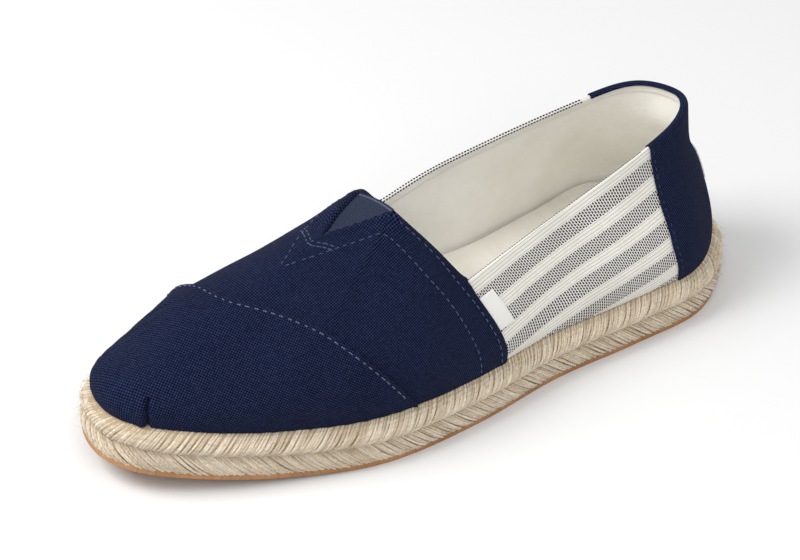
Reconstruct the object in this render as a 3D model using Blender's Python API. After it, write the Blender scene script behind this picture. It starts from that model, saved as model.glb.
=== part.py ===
"""A left slip-on espadrille: a canvas upper on a rope sole with a thin rubber tread.

The toe points along +X, the outer side faces +Y and the floor is at Z = 0. Every piece
is lofted from the same forms: the outline of the rope sole, the profile of its side, and
the ribs of the upper, which climb from the feather line to the topline and the throat.
"""

from collections import namedtuple
from math import pi

import bpy
import numpy as np

for old_object in list(bpy.data.objects):
    bpy.data.objects.remove(old_object, do_unlink=True)

# Driving sizes, in metres
LENGTH = 0.250
BALL_WIDTH = 0.082
HEEL_HEIGHT = 0.066
INSTEP_HEIGHT = 0.071
SOLE_HEIGHT = 0.0162
OUTSOLE_THICKNESS = 0.003
TOE_SPRING = 0.0105
LEDGE = 0.0042
QUARTER_WALL = 0.0016
VAMP_STEP = 0.0008
INSOLE_THICKNESS = 0.003
OVERLAY_THICKNESS = 0.0008
GORE_THICKNESS = 0.0010
GORE_RECESS = 0.0005
LABEL_THICKNESS = 0.0005
GAP = 0.0003

# Shares of the length: where the sole starts to rise, and how sharply it does
SPRING_START = 0.66
SPRING_POWER = 1.8

# How finely the forms are cut: points round the sole, steps between two ribs and up a rib
SOLE_POINTS = 80
STEPS_BETWEEN_RIBS = 6
STEPS_AT_TOE = 8
OUTER_STEPS = 16
INNER_STEPS = 8
STEP_WIDTH = 0.008
STEEPEST_SEAM = 0.045

# The rope's outline from heel to toe: station as a share of the length, and the half
# widths on each side of the middle line as shares of the ball width
Outline = namedtuple("Outline", "station lateral medial")
OUTLINE = [
    Outline(0.000, 0.000, 0.000),
    Outline(0.040, 0.283, 0.278),
    Outline(0.120, 0.446, 0.432),
    Outline(0.240, 0.474, 0.386),
    Outline(0.380, 0.480, 0.338),
    Outline(0.520, 0.538, 0.402),
    Outline(0.660, 0.544, 0.460),
    Outline(0.800, 0.424, 0.448),
    Outline(0.910, 0.278, 0.391),
    Outline(0.975, 0.144, 0.261),
    Outline(1.000, -0.034, 0.034),
]

# The rope's side from the tread up to the ledge: height as a share of the rope's own
# height, and how far it stands in from the outline as a share of the ledge. The waist
# between the two bulges is the groove where the two rows of braid meet.
Side = namedtuple("Side", "height inset")
ROPE_SIDE = [
    Side(0.00, 0.36),
    Side(0.10, 0.16),
    Side(0.22, 0.06),
    Side(0.36, 0.13),
    Side(0.43, 0.22),
    Side(0.51, 0.06),
    Side(0.64, 0.00),
    Side(0.78, 0.13),
    Side(0.90, 0.40),
    Side(0.97, 0.70),
    Side(1.00, 1.00),
]
TREAD_SIDE = [Side(0.00, 0.52), Side(0.22, 0.40), Side(1.00, 0.38)]
INSOLE_SIDE = [Side(0.00, 0.00), Side(0.75, 0.00), Side(1.00, 0.25)]

# The ribs of the upper, one row for each, round from the back of the heel. A rib starts
# on the feather line at foot, a share of the length. It ends on the topline: along is a
# share of the length, across of the ball width, heel of the heel height and instep of the
# instep height. It leaves the sole with a flare, a share of the ball width, and its curve
# follows rise, reach and drop, which are shares of its own height and depth.
Rib = namedtuple("Rib", "place side foot along across heel instep flare rise reach drop")
RIBS = [
    Rib("heel back", 1, 0.000, 0.0575, 0.000, 1.000, 0.000, 0.007, 0.36, 0.20, 0.39),
    Rib("heel turn", 1, 0.041, 0.0960, 0.148, 0.988, 0.000, 0.004, 0.34, 0.17, 0.42),
    Rib("counter", 1, 0.147, 0.1850, 0.207, 0.914, 0.000, 0.025, 0.41, 0.30, 0.40),
    Rib("quarter", 1, 0.303, 0.3720, 0.272, 0.450, 0.316, 0.026, 0.44, 0.40, 0.32),
    Rib("vamp edge", 1, 0.463, 0.5020, 0.342, 0.000, 0.648, 0.031, 0.40, 0.39, 0.35),
    Rib("throat side", 1, 0.611, 0.5330, 0.238, 0.000, 0.817, 0.034, 0.50, 0.46, 0.24),
    Rib("throat corner", 1, 0.800, 0.5730, 0.120, 0.000, 1.000, 0.023, 0.43, 0.50, 0.38),
    Rib("notch side", 1, 0.935, 0.6230, 0.056, 0.000, 0.962, 0.011, 0.38, 0.44, 0.38),
    Rib("notch tip", 1, 1.000, 0.6580, 0.000, 0.000, 0.930, 0.012, 0.42, 0.47, 0.39),
    Rib("notch side", -1, 0.925, 0.6230, 0.057, 0.000, 0.955, 0.011, 0.38, 0.44, 0.38),
    Rib("throat corner", -1, 0.775, 0.5640, 0.116, 0.000, 0.968, 0.023, 0.43, 0.50, 0.38),
    Rib("throat side", -1, 0.616, 0.5300, 0.262, 0.000, 0.810, 0.034, 0.50, 0.46, 0.24),
    Rib("vamp edge", -1, 0.458, 0.4930, 0.346, 0.000, 0.640, 0.031, 0.40, 0.39, 0.35),
    Rib("quarter", -1, 0.299, 0.3760, 0.326, 0.450, 0.316, 0.026, 0.44, 0.40, 0.32),
    Rib("counter", -1, 0.147, 0.1900, 0.262, 0.920, 0.000, 0.025, 0.41, 0.30, 0.40),
    Rib("heel turn", -1, 0.045, 0.0950, 0.184, 0.988, 0.000, 0.004, 0.34, 0.17, 0.42),
]
LATERAL_EDGE, LATERAL_CORNER, NOTCH_TIP = 4, 6, 8
MEDIAL_CORNER, MEDIAL_EDGE, RIB_COUNT = 10, 12, 16
KINKS = (LATERAL_EDGE, LATERAL_CORNER, NOTCH_TIP, MEDIAL_CORNER, MEDIAL_EDGE)

# The toe panel's sewn edge, across the vamp: rib number, and how far up that rib
Seam = namedtuple("Seam", "rib climb")
TOE_SEAM = [
    Seam(5.05, 0.02),
    Seam(5.20, 0.15),
    Seam(5.52, 0.37),
    Seam(5.99, 0.53),
    Seam(6.60, 0.61),
    Seam(7.30, 0.65),
    Seam(8.00, 0.67),
    Seam(8.55, 0.62),
    Seam(9.05, 0.51),
    Seam(9.45, 0.32),
    Seam(9.70, 0.02),
]

# The heel counter's front edges: how far up, and the rib number reached on each side
CounterEdge = namedtuple("CounterEdge", "climb lateral medial")
COUNTER_EDGE = [
    CounterEdge(0.00, 2.06, 2.02),
    CounterEdge(0.30, 2.09, 2.00),
    CounterEdge(0.60, 2.01, 1.92),
    CounterEdge(1.00, 1.84, 1.74),
]

# Patches on the surface: first and last rib, lowest and highest climb
Patch = namedtuple("Patch", "first last low high")
SIDE_TAG = Patch(3.82, 3.985, 0.44, 0.80)
HEEL_LABEL = Patch(-0.42, 0.42, 0.34, 0.58)


def smooth_loop(knots, values, at, period, kinks=()):
    """A cubic through the values round a closed loop, with a corner at each kink."""
    knots = np.append(np.asarray(knots, float), period)
    values = np.asarray(values, float)
    gaps = np.diff(knots)
    after = (np.roll(values, -1, axis=0) - values) / gaps[:, None]
    before = np.roll(after, 1, axis=0)
    gaps_before = np.roll(gaps, 1)
    slope = before * gaps[:, None] + after * gaps_before[:, None]
    slope /= (gaps + gaps_before)[:, None]
    leaving = slope.copy()
    arriving = slope.copy()
    for kink in kinks:
        leaving[kink] = after[kink]
        arriving[kink] = before[kink]
    at = np.mod(at, period)
    start = np.minimum(np.searchsorted(knots, at, side="right") - 1, len(values) - 1)
    end = (start + 1) % len(values)
    gap = gaps[start][..., None]
    t = (at - knots[start])[..., None] / gap
    return (
        (2 * t**3 - 3 * t**2 + 1) * values[start]
        + (t**3 - 2 * t**2 + t) * gap * leaving[start]
        + (3 * t**2 - 2 * t**3) * values[end]
        + (t**3 - t**2) * gap * arriving[end]
    )


def angle_of(station):
    """The angle round the outline at a station, so that both ends come out round."""
    return np.arccos(1 - 2 * np.asarray(station, float))


def outline(angle, inset=0.0):
    """The rope's outline in plan, and its outward direction, at angles from the heel."""
    there = [(float(angle_of(row.station)), row.lateral) for row in OUTLINE]
    back = [(2 * pi - float(angle_of(row.station)), -row.medial) for row in OUTLINE[-2:0:-1]]
    knots, shares = zip(*(there + back))

    def point(at):
        y = smooth_loop(knots, np.array(shares)[:, None], at, 2 * pi)[..., 0] * BALL_WIDTH
        return np.stack([LENGTH * (1 - np.cos(at)) / 2, y], axis=-1)

    step = 0.001
    along = point(angle + step) - point(angle - step)
    along /= np.linalg.norm(along, axis=-1, keepdims=True)
    outward = np.stack([-along[..., 1], along[..., 0]], axis=-1)
    return point(angle) - outward * inset, outward


def spring(x):
    """How far the sole has risen off the floor at x."""
    share = np.clip((x / LENGTH - SPRING_START) / (1 - SPRING_START), 0, None)
    return TOE_SPRING * share**SPRING_POWER


def rib_surface(rib, climb):
    """Points on the outside of the upper, at rib numbers and shares of the climb."""
    rib, climb = np.broadcast_arrays(np.asarray(rib, float), np.asarray(climb, float))
    numbers = np.arange(RIB_COUNT)
    turn = 2 * pi / RIB_COUNT
    foot = np.array([float(angle_of(row.foot)) for row in RIBS])
    foot = np.where(numbers > NOTCH_TIP, 2 * pi - foot, foot)
    ahead = smooth_loop(numbers, (foot - turn * numbers)[:, None], rib, RIB_COUNT)[..., 0]
    angle = np.mod(rib, RIB_COUNT) * turn + ahead
    plan, outward = outline(angle, LEDGE)
    base = np.concatenate([plan, (SOLE_HEIGHT + spring(plan[..., 0]))[..., None]], axis=-1)
    ends = [
        (
            row.along * LENGTH,
            row.side * row.across * BALL_WIDTH,
            row.heel * HEEL_HEIGHT + row.instep * INSTEP_HEIGHT,
        )
        for row in RIBS
    ]
    top = smooth_loop(numbers, ends, rib, RIB_COUNT, KINKS)
    bends = [(row.flare * BALL_WIDTH, row.rise, row.reach, row.drop) for row in RIBS]
    flare, rise, reach, drop = np.moveaxis(smooth_loop(numbers, bends, rib, RIB_COUNT), -1, 0)
    height = top[..., 2] - base[..., 2]
    low = base.copy()
    low[..., :2] += outward * flare[..., None]
    low[..., 2] += rise * height
    high = top.copy()
    high[..., :2] += reach[..., None] * (base - top)[..., :2]
    high[..., 2] -= drop * height
    t = climb[..., None]
    rest = 1 - t
    curve = rest**3 * base + 3 * t * rest**2 * low + 3 * t**2 * rest * high + t**3 * top
    return curve, outward


def upper_form(rib, climb, lift):
    """Points on a form that stands off the outside of the upper by lift."""
    rib, climb, lift = np.broadcast_arrays(
        np.asarray(rib, float), np.asarray(climb, float), np.asarray(lift, float)
    )
    beside, up = 0.03, 0.01
    point, outward = rib_surface(rib, climb)
    ahead, behind = rib_surface(rib + beside, climb)[0], rib_surface(rib - beside, climb)[0]
    above = rib_surface(rib, np.minimum(climb + up, 1))[0]
    below = rib_surface(rib, np.maximum(climb - up, 0))[0]
    normal = np.cross(above - below, ahead - behind)
    level = np.concatenate([outward, np.zeros(outward.shape[:-1] + (1,))], axis=-1)
    normal = np.where((climb <= 0)[..., None], level, normal)
    normal /= np.linalg.norm(normal, axis=-1, keepdims=True)
    return point + normal * lift[..., None]


def rib_numbers():
    """Where the upper is cut: evenly between ribs, finer at the toe, twice at the step."""
    numbers = []
    for rib in range(RIB_COUNT):
        at_toe = LATERAL_CORNER <= rib < MEDIAL_CORNER
        steps = STEPS_AT_TOE if at_toe else STEPS_BETWEEN_RIBS
        numbers += [rib + k / steps for k in range(steps)]
    for edge in (LATERAL_EDGE, MEDIAL_EDGE):
        numbers.remove(edge)
        numbers += [edge - STEP_WIDTH / 2, edge + STEP_WIDTH / 2]
    return np.array(sorted(numbers))


def on_vamp(rib):
    rib = np.mod(rib, RIB_COUNT)
    return (rib > LATERAL_EDGE) & (rib < MEDIAL_EDGE)


def skin_lift(rib):
    """The quarters lie one cloth deeper than the vamp."""
    return np.where(on_vamp(rib), 0.0, -VAMP_STEP)


def add_object(name, points, faces, color, roughness):
    mesh = bpy.data.meshes.new(name)
    mesh.from_pydata([tuple(point) for point in points], [], faces)
    mesh.validate()
    mesh.shade_smooth()
    mesh.set_sharp_from_angle(angle=0.7)
    material = bpy.data.materials.new(name)
    material.use_nodes = True
    shader = material.node_tree.nodes["Principled BSDF"]
    shader.inputs["Base Color"].default_value = (*color, 1.0)
    shader.inputs["Roughness"].default_value = roughness
    shader.inputs["Metallic"].default_value = 0.0
    mesh.materials.append(material)
    made = bpy.data.objects.new(name, mesh)
    bpy.context.scene.collection.objects.link(made)
    made.parent = shoe
    return made


def skin_faces(rows, columns, first, wrap, flip):
    """Quads over a grid of rows x columns points that starts at index first."""
    faces = []
    for i in range(rows - 1):
        for j in range(columns if wrap else columns - 1):
            after = (j + 1) % columns
            quad = [i * columns + j, i * columns + after]
            quad += [(i + 1) * columns + after, (i + 1) * columns + j]
            quad = [first + corner for corner in quad]
            faces.append(quad[::-1] if flip else quad)
    return faces


def add_lofted_sole(name, side_rows, inset_of, height_of, color, roughness):
    """A solid with the outline of the sole, closed above and below by rungs across it."""
    angle = np.arange(SOLE_POINTS) * 2 * pi / SOLE_POINTS
    rings = []
    for row in side_rows:
        plan, _ = outline(angle, inset_of(row))
        rings.append(np.column_stack([plan, height_of(row) + spring(plan[:, 0])]))
    faces = skin_faces(len(rings), SOLE_POINTS, 0, wrap=True, flip=True)
    half = SOLE_POINTS // 2
    last = (len(rings) - 1) * SOLE_POINTS
    for i in range(half):
        near = i
        far = (SOLE_POINTS - i) % SOLE_POINTS
        rung = [near, near + 1, far - 1 if far else SOLE_POINTS - 1, far]
        rung = list(dict.fromkeys(rung))
        faces.append(rung)
        faces.append([last + corner for corner in rung[::-1]])
    add_object(name, np.concatenate(rings), faces, color, roughness)


def add_shell(name, rib, climb, low, high, color, roughness):
    """A patch of cloth over a grid of surface places, between two lifts."""
    rows, columns = rib.shape
    outer = upper_form(rib, climb, high).reshape(-1, 3)
    inner = upper_form(rib, climb, low).reshape(-1, 3)
    faces = close_sheet(rows, columns)
    add_object(name, np.concatenate([outer, inner]), faces, color, roughness)


def close_sheet(rows, columns):
    """Faces of a closed sheet whose outer grid comes first and whose inner one follows."""
    size = rows * columns
    faces = skin_faces(rows, columns, 0, wrap=False, flip=True)
    faces += skin_faces(rows, columns, size, wrap=False, flip=False)
    rim = [j for j in range(columns)]
    rim += [i * columns + columns - 1 for i in range(1, rows)]
    rim += [(rows - 1) * columns + j for j in range(columns - 2, -1, -1)]
    rim += [i * columns for i in range(rows - 2, 0, -1)]
    for here, there in zip(rim, rim[1:] + rim[:1]):
        faces.append([here, there, size + there, size + here])
    return faces


def add_upper():
    """The whole upper: one wall, open at the topline and the notch and underneath."""
    ribs = rib_numbers()
    outer_climb = np.linspace(0, 1, OUTER_STEPS + 1)
    inner_climb = np.linspace(1, 0, INNER_STEPS + 1)
    inside = -(QUARTER_WALL + VAMP_STEP)
    outer = upper_form(ribs[None, :], outer_climb[:, None], skin_lift(ribs)[None, :])
    inner = upper_form(ribs[None, :], inner_climb[:, None], inside)
    rings = np.concatenate([outer, inner])
    count = len(ribs)
    faces = skin_faces(len(rings), count, 0, wrap=True, flip=True)
    last = (len(rings) - 1) * count
    for j in range(count):
        after = (j + 1) % count
        faces.append([last + j, j, after, last + after])
    add_object("upper", rings.reshape(-1, 3), faces, (0.025, 0.035, 0.10), 0.9)


def add_toe_panel():
    """A second layer of canvas over the toe, with a slanting folded edge."""
    knots = [row.rib for row in TOE_SEAM]
    ribs = rib_numbers()
    ribs = ribs[(ribs > knots[0]) & (ribs < knots[-1])]
    ribs = np.array(sorted(set(ribs) | set(knots)))
    climbs = [row.climb for row in TOE_SEAM]
    steep = np.abs(np.diff(open_curve(knots, climbs, ribs))) > STEEPEST_SEAM
    ribs = np.sort(np.concatenate([ribs, ((ribs[:-1] + ribs[1:]) / 2)[steep]]))
    edge = open_curve(knots, climbs, ribs)
    share = np.linspace(0, 1, 8)
    climb = share[:, None] * edge[None, :]
    rib = np.broadcast_to(ribs, climb.shape)
    add_shell("toe_panel", rib, climb, GAP, GAP + OVERLAY_THICKNESS, (0.025, 0.035, 0.10), 0.9)


def open_curve(knots, values, at):
    """A cubic through the values from the first knot to the last."""
    span = knots[-1] - knots[0]
    knots = [(knot - knots[0]) / span for knot in knots]
    at = (np.asarray(at) - at[0]) / (at[-1] - at[0])
    back = [2 - knot for knot in knots[-2:0:-1]]
    looped = np.array(list(values) + list(values[-2:0:-1]))[:, None]
    return smooth_loop(knots + back, looped, at, 2.0)[:, 0]


def add_heel_counter():
    """The navy piece that wraps the heel, over the striped quarters."""
    climb = np.linspace(0, 1, 12)
    heights = [row.climb for row in COUNTER_EDGE]
    lateral = np.interp(climb, heights, [row.lateral for row in COUNTER_EDGE])
    medial = np.interp(climb, heights, [row.medial for row in COUNTER_EDGE])
    across = np.linspace(-1, 1, 25)
    reach = np.where(across < 0, medial[:, None], lateral[:, None])
    rib = across[None, :] * reach
    low = GAP - VAMP_STEP
    climb = np.broadcast_to(climb[:, None], rib.shape)
    add_shell("heel_counter", rib, climb, low, low + OVERLAY_THICKNESS, (0.025, 0.035, 0.10), 0.9)


def add_patch(name, patch, low, color, roughness):
    rib, climb = np.meshgrid(
        np.linspace(patch.first, patch.last, 7), np.linspace(patch.low, patch.high, 6)
    )
    add_shell(name, rib, climb, low, low + LABEL_THICKNESS, color, roughness)


def add_throat_gore():
    """The ribbed elastic that fills the notch, a little below the face of the vamp."""
    ribs = rib_numbers()
    steps = NOTCH_TIP - ribs[(ribs >= LATERAL_CORNER) & (ribs < NOTCH_TIP)]
    steps = np.sort(steps)[:0:-1]
    width_share = np.linspace(0, 1, 7)
    sheets = []
    for lift in (-GORE_RECESS, -GORE_RECESS - GORE_THICKNESS):
        lateral = upper_form(NOTCH_TIP - steps, 1.0, lift)
        medial = upper_form(NOTCH_TIP + steps, 1.0, lift)
        width = np.linalg.norm(lateral - medial, axis=1, keepdims=True)
        margin = 1.4 * GAP / width
        share = margin + (1 - 2 * margin) * width_share[None, :]
        sheet = medial[:, None] + share[..., None] * (lateral - medial)[:, None]
        crown = 0.07 * width * 4 * share * (1 - share)
        sheet[..., 2] += crown
        sheets.append(sheet)
    rows, columns = sheets[0].shape[:2]
    points = np.concatenate([sheet.reshape(-1, 3) for sheet in sheets])
    add_object("throat_gore", points, close_sheet(rows, columns), (0.05, 0.06, 0.09), 0.8)


# The pieces hang on one empty, which puts the middle of the shoe's plan over the origin
plan_of_rope, _ = outline(np.arange(SOLE_POINTS) * 2 * pi / SOLE_POINTS)
middle = (plan_of_rope.min(axis=0) + plan_of_rope.max(axis=0)) / 2
shoe = bpy.data.objects.new("shoe", None)
shoe.location = (-middle[0], -middle[1], 0)
bpy.context.scene.collection.objects.link(shoe)

ROPE_BOTTOM = OUTSOLE_THICKNESS + GAP
ROPE_TOP = SOLE_HEIGHT - GAP
INSOLE_INSET = LEDGE + QUARTER_WALL + VAMP_STEP + 3 * GAP

add_lofted_sole(
    "outsole",
    TREAD_SIDE,
    inset_of=lambda row: row.inset * LEDGE,
    height_of=lambda row: row.height * OUTSOLE_THICKNESS,
    color=(0.30, 0.16, 0.07),
    roughness=0.7,
)
add_lofted_sole(
    "midsole",
    ROPE_SIDE,
    inset_of=lambda row: row.inset * LEDGE,
    height_of=lambda row: ROPE_BOTTOM + row.height * (ROPE_TOP - ROPE_BOTTOM),
    color=(0.55, 0.43, 0.28),
    roughness=0.95,
)
add_lofted_sole(
    "insole",
    INSOLE_SIDE,
    inset_of=lambda row: INSOLE_INSET + row.inset * INSOLE_THICKNESS,
    height_of=lambda row: SOLE_HEIGHT + row.height * INSOLE_THICKNESS,
    color=(0.62, 0.55, 0.45),
    roughness=0.9,
)
add_upper()
add_toe_panel()
add_heel_counter()
add_throat_gore()
add_patch("side_tag", SIDE_TAG, GAP - VAMP_STEP, (0.8, 0.8, 0.78), 0.8)
add_patch(
    "heel_label", HEEL_LABEL, 2 * GAP + OVERLAY_THICKNESS - VAMP_STEP, (0.8, 0.8, 0.78), 0.8
)
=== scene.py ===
from math import cos, pi, radians, sin, sqrt

import bpy
import numpy as np
from mathutils import Matrix, Vector


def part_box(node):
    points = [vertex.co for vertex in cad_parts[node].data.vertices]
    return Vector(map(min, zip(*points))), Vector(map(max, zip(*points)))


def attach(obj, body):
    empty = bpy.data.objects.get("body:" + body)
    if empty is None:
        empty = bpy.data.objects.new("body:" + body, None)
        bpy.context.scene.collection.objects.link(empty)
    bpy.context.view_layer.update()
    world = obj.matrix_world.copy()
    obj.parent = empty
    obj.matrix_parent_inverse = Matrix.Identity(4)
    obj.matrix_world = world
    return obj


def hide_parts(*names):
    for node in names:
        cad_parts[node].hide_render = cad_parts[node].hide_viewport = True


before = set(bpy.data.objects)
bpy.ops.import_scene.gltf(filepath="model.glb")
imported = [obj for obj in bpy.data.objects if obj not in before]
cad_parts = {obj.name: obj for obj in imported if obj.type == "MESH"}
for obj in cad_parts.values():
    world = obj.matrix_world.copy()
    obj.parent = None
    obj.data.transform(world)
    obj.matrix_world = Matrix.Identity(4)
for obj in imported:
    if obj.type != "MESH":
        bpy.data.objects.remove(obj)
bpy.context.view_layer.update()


# The outsole
# A thin sheet of tan rubber, cut to the outline of the rope and glued under it. It lies
# flat from the heel to the ball of the foot and lifts with the toe.
LENGTH = 0.250
BALL_WIDTH = 0.082
SOLE_HEIGHT = 0.0162
OUTSOLE_THICKNESS = 0.003
TOE_SPRING = 0.0105
SPRING_START = 0.66
SPRING_POWER = 1.8
LEDGE = 0.0042
GAP = 0.0003

# Station as a share of the length, half widths as shares of the ball width
OUTLINE_STATION = [0.0, 0.04, 0.12, 0.24, 0.38, 0.52, 0.66, 0.80, 0.91, 0.975, 1.0]
OUTLINE_LATERAL = [0.0, 0.283, 0.446, 0.474, 0.480, 0.538, 0.544, 0.424, 0.278, 0.144, -0.034]
OUTLINE_MEDIAL = [0.0, 0.278, 0.432, 0.386, 0.338, 0.402, 0.460, 0.448, 0.391, 0.261, 0.034]


def smooth_loop(knots, values, at, period, kinks=()):
    """A cubic through the values round a closed loop, with a corner at each kink."""
    knots = np.append(np.asarray(knots, float), period)
    values = np.asarray(values, float)
    gaps = np.diff(knots)
    after = (np.roll(values, -1, axis=0) - values) / gaps[:, None]
    before = np.roll(after, 1, axis=0)
    gaps_before = np.roll(gaps, 1)
    slope = before * gaps[:, None] + after * gaps_before[:, None]
    slope /= (gaps + gaps_before)[:, None]
    leaving = slope.copy()
    arriving = slope.copy()
    for kink in kinks:
        leaving[kink] = after[kink]
        arriving[kink] = before[kink]
    at = np.mod(at, period)
    start = np.minimum(np.searchsorted(knots, at, side="right") - 1, len(values) - 1)
    end = (start + 1) % len(values)
    gap = gaps[start][..., None]
    t = (at - knots[start])[..., None] / gap
    return (
        (2 * t**3 - 3 * t**2 + 1) * values[start]
        + (t**3 - 2 * t**2 + t) * gap * leaving[start]
        + (3 * t**2 - 2 * t**3) * values[end]
        + (t**3 - t**2) * gap * arriving[end]
    )


def angle_of(station):
    return np.arccos(1 - 2 * np.asarray(station, float))


def unit(vectors):
    return vectors / np.linalg.norm(vectors, axis=-1, keepdims=True)


def outline(angle, inset=0.0):
    """The rope's outline in plan, and its outward direction, at angles from the heel."""
    there = angle_of(OUTLINE_STATION)
    knots = np.concatenate([there, 2 * pi - there[-2:0:-1]])
    shares = np.array(OUTLINE_LATERAL + [-share for share in OUTLINE_MEDIAL[-2:0:-1]])

    def point(at):
        y = smooth_loop(knots, shares[:, None], at, 2 * pi)[..., 0] * BALL_WIDTH
        return np.stack([LENGTH * (1 - np.cos(at)) / 2, y], axis=-1)

    step = 0.001
    along = unit(point(angle + step) - point(angle - step))
    outward = np.stack([-along[..., 1], along[..., 0]], axis=-1)
    return point(angle) - outward * np.asarray(inset)[..., None], outward


def spring(x):
    share = np.clip((x / LENGTH - SPRING_START) / (1 - SPRING_START), 0, None)
    return TOE_SPRING * share**SPRING_POWER


# The frame's origin is under the middle of the rope's plan
rope_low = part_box("midsole")[0]
plan_low = outline(np.linspace(0, 2 * pi, 81)[:-1])[0].min(axis=0)
TO_FRAME = np.array([rope_low[0] - plan_low[0], rope_low[1] - plan_low[1], 0.0])


def read_all(items, attribute, size, kind=float):
    """An attribute of all vertices or corners of a mesh, in rows."""
    values = np.empty(len(items) * size, kind)
    items.foreach_get(attribute, values)
    return values.reshape(-1, size)


def shaped_grid(name, columns, rows, form):
    """A flat grid bent to a form, which turns the shares across and up into points."""
    bpy.ops.mesh.primitive_grid_add(x_subdivisions=columns, y_subdivisions=rows, size=1)
    piece = bpy.context.object
    piece.name = name
    piece.data.name = name
    flat = read_all(piece.data.vertices, "co", 3) + 0.5
    points = form(flat[:, 0], flat[:, 1]) + TO_FRAME
    piece.data.vertices.foreach_set("co", points.ravel())
    piece.data.update()
    return piece


def select_only(*pieces):
    bpy.ops.object.select_all(action="DESELECT")
    for piece in pieces:
        piece.select_set(True)
    bpy.context.view_layer.objects.active = pieces[0]


def apply_modifier(piece, kind, **settings):
    bpy.context.view_layer.objects.active = piece
    modifier = piece.modifiers.new(kind, kind)
    for setting, value in settings.items():
        setattr(modifier, setting, value)
    bpy.ops.object.modifier_apply(modifier=modifier.name)


def thicken(piece, thickness, edge=0.0, segments=2, corner=60):
    """Gives a sheet its thickness, inwards, and rounds the edges of its rim."""
    apply_modifier(piece, "SOLIDIFY", thickness=thickness, offset=-1.0)
    if edge:
        apply_modifier(piece, "BEVEL", width=edge, segments=segments, angle_limit=radians(corner))


def edit_all(operator, **settings):
    """Runs an operator on the whole mesh of the active piece."""
    bpy.ops.object.mode_set(mode="EDIT")
    bpy.ops.mesh.select_all(action="SELECT")
    operator(**settings)
    bpy.ops.object.mode_set(mode="OBJECT")


def merge_doubles(piece):
    select_only(piece)
    edit_all(bpy.ops.mesh.remove_doubles, threshold=0.00002)
    edit_all(bpy.ops.mesh.normals_make_consistent, inside=False)


def level_sheet(name, columns, rows, form, up=True):
    """A level sheet whose faces look up, or down, so that it can be thickened."""
    piece = shaped_grid(name, columns, rows, form)
    merge_doubles(piece)
    rise = sum(face.normal.z * face.area for face in piece.data.polygons)
    if (rise > 0) != up:
        edit_all(bpy.ops.mesh.flip_normals)
    return piece


def finish_piece(piece, material, slot, *replaced, smooth=35):
    select_only(piece)
    bpy.ops.object.shade_smooth_by_angle(angle=radians(smooth))
    piece.data.materials.append(material)
    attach(piece, "root")
    if replaced:
        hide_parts(*replaced)


def add_z(plan, z):
    """Points or directions in plan, with their z."""
    return np.concatenate([plan, np.broadcast_to(z, plan.shape[:-1])[..., None]], axis=-1)


def sole_slab(angle_share, across, inset, height):
    """Points of a level slab with the sole's outline: rungs that run across it."""
    angle = angle_share * pi
    lateral = outline(angle, inset)[0]
    medial = outline(2 * pi - angle, inset)[0]
    plan = medial + (lateral - medial) * across[..., None]
    return add_z(plan, height + spring(plan[:, 0]))


class Nodes:
    """Short names for the shader nodes of one material."""

    def __init__(self, name):
        self.material = bpy.data.materials.new(name)
        self.material.use_nodes = True
        self.tree = self.material.node_tree
        self.shader = self.tree.nodes["Principled BSDF"]

    def add(self, kind, inputs=(), **settings):
        node = self.tree.nodes.new(kind)
        for setting, value in settings.items():
            setattr(node, setting, value)
        for key, value in dict(inputs).items():
            self.feed(node.inputs[key], value)
        return node

    def feed(self, socket, value):
        if isinstance(value, bpy.types.NodeSocket):
            self.tree.links.new(value, socket)
        else:
            socket.default_value = value

    def math(self, operation, a, b=0.0, c=0.0):
        node = self.add("ShaderNodeMath", {0: a, 1: b, 2: c}, operation=operation)
        return node.outputs[0]

    def plus(self, a, b):
        return self.math("ADD", a, b)

    def minus(self, a, b):
        return self.math("SUBTRACT", a, b)

    def times(self, a, b):
        return self.math("MULTIPLY", a, b)

    def wave(self, value, pitch):
        """A sine that repeats at every pitch along the value."""
        return self.math("SINE", self.times(value, 2 * pi / pitch))

    def from_middle(self, value, middle=0.5):
        return self.math("ABSOLUTE", self.minus(value, middle))

    def mix(self, share, a, b):
        node = self.add("ShaderNodeMix", {0: share, 6: a, 7: b}, data_type="RGBA")
        return node.outputs[2]

    def noise(self, vector, scale, detail=2.0, roughness=0.5):
        inputs = {"Vector": vector, "Scale": scale, "Detail": detail, "Roughness": roughness}
        return self.add("ShaderNodeTexNoise", inputs).outputs[0]

    def ramp(self, value, low, high):
        inputs = {"Value": value, "From Min": low, "From Max": high}
        return self.add("ShaderNodeMapRange", inputs).outputs[0]

    def place(self, kind="Object"):
        return self.add("ShaderNodeTexCoord").outputs[kind]

    def split(self, vector):
        return self.add("ShaderNodeSeparateXYZ", {0: vector}).outputs

    def join(self, x, y, z=0.0):
        return self.add("ShaderNodeCombineXYZ", {0: x, 1: y, 2: z}).outputs[0]

    def bump(self, height, distance, strength=1.0, under=None):
        inputs = {"Height": height, "Distance": distance, "Strength": strength}
        if under is not None:
            inputs["Normal"] = under
        return self.add("ShaderNodeBump", inputs).outputs[0]

    def surface(self, color, roughness, normal=None, gloss=0.15, **sockets):
        self.feed(self.shader.inputs["Base Color"], color)
        self.feed(self.shader.inputs["Roughness"], roughness)
        if normal is not None:
            self.feed(self.shader.inputs["Normal"], normal)
        for key, value in sockets.items():
            self.feed(self.shader.inputs[key.replace("_", " ").title()], value)
        self.shader.inputs["Specular IOR Level"].default_value = gloss
        return self.material


def rgb(red, green, blue):
    return (red, green, blue, 1.0)


TREAD_INSET = 0.28 * LEDGE
outsole = level_sheet(
    "outsole_rubber", 160, 24, lambda x, y: sole_slab(x, y, TREAD_INSET, OUTSOLE_THICKNESS)
)
thicken(outsole, OUTSOLE_THICKNESS, 0.0006, corner=50)

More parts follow.
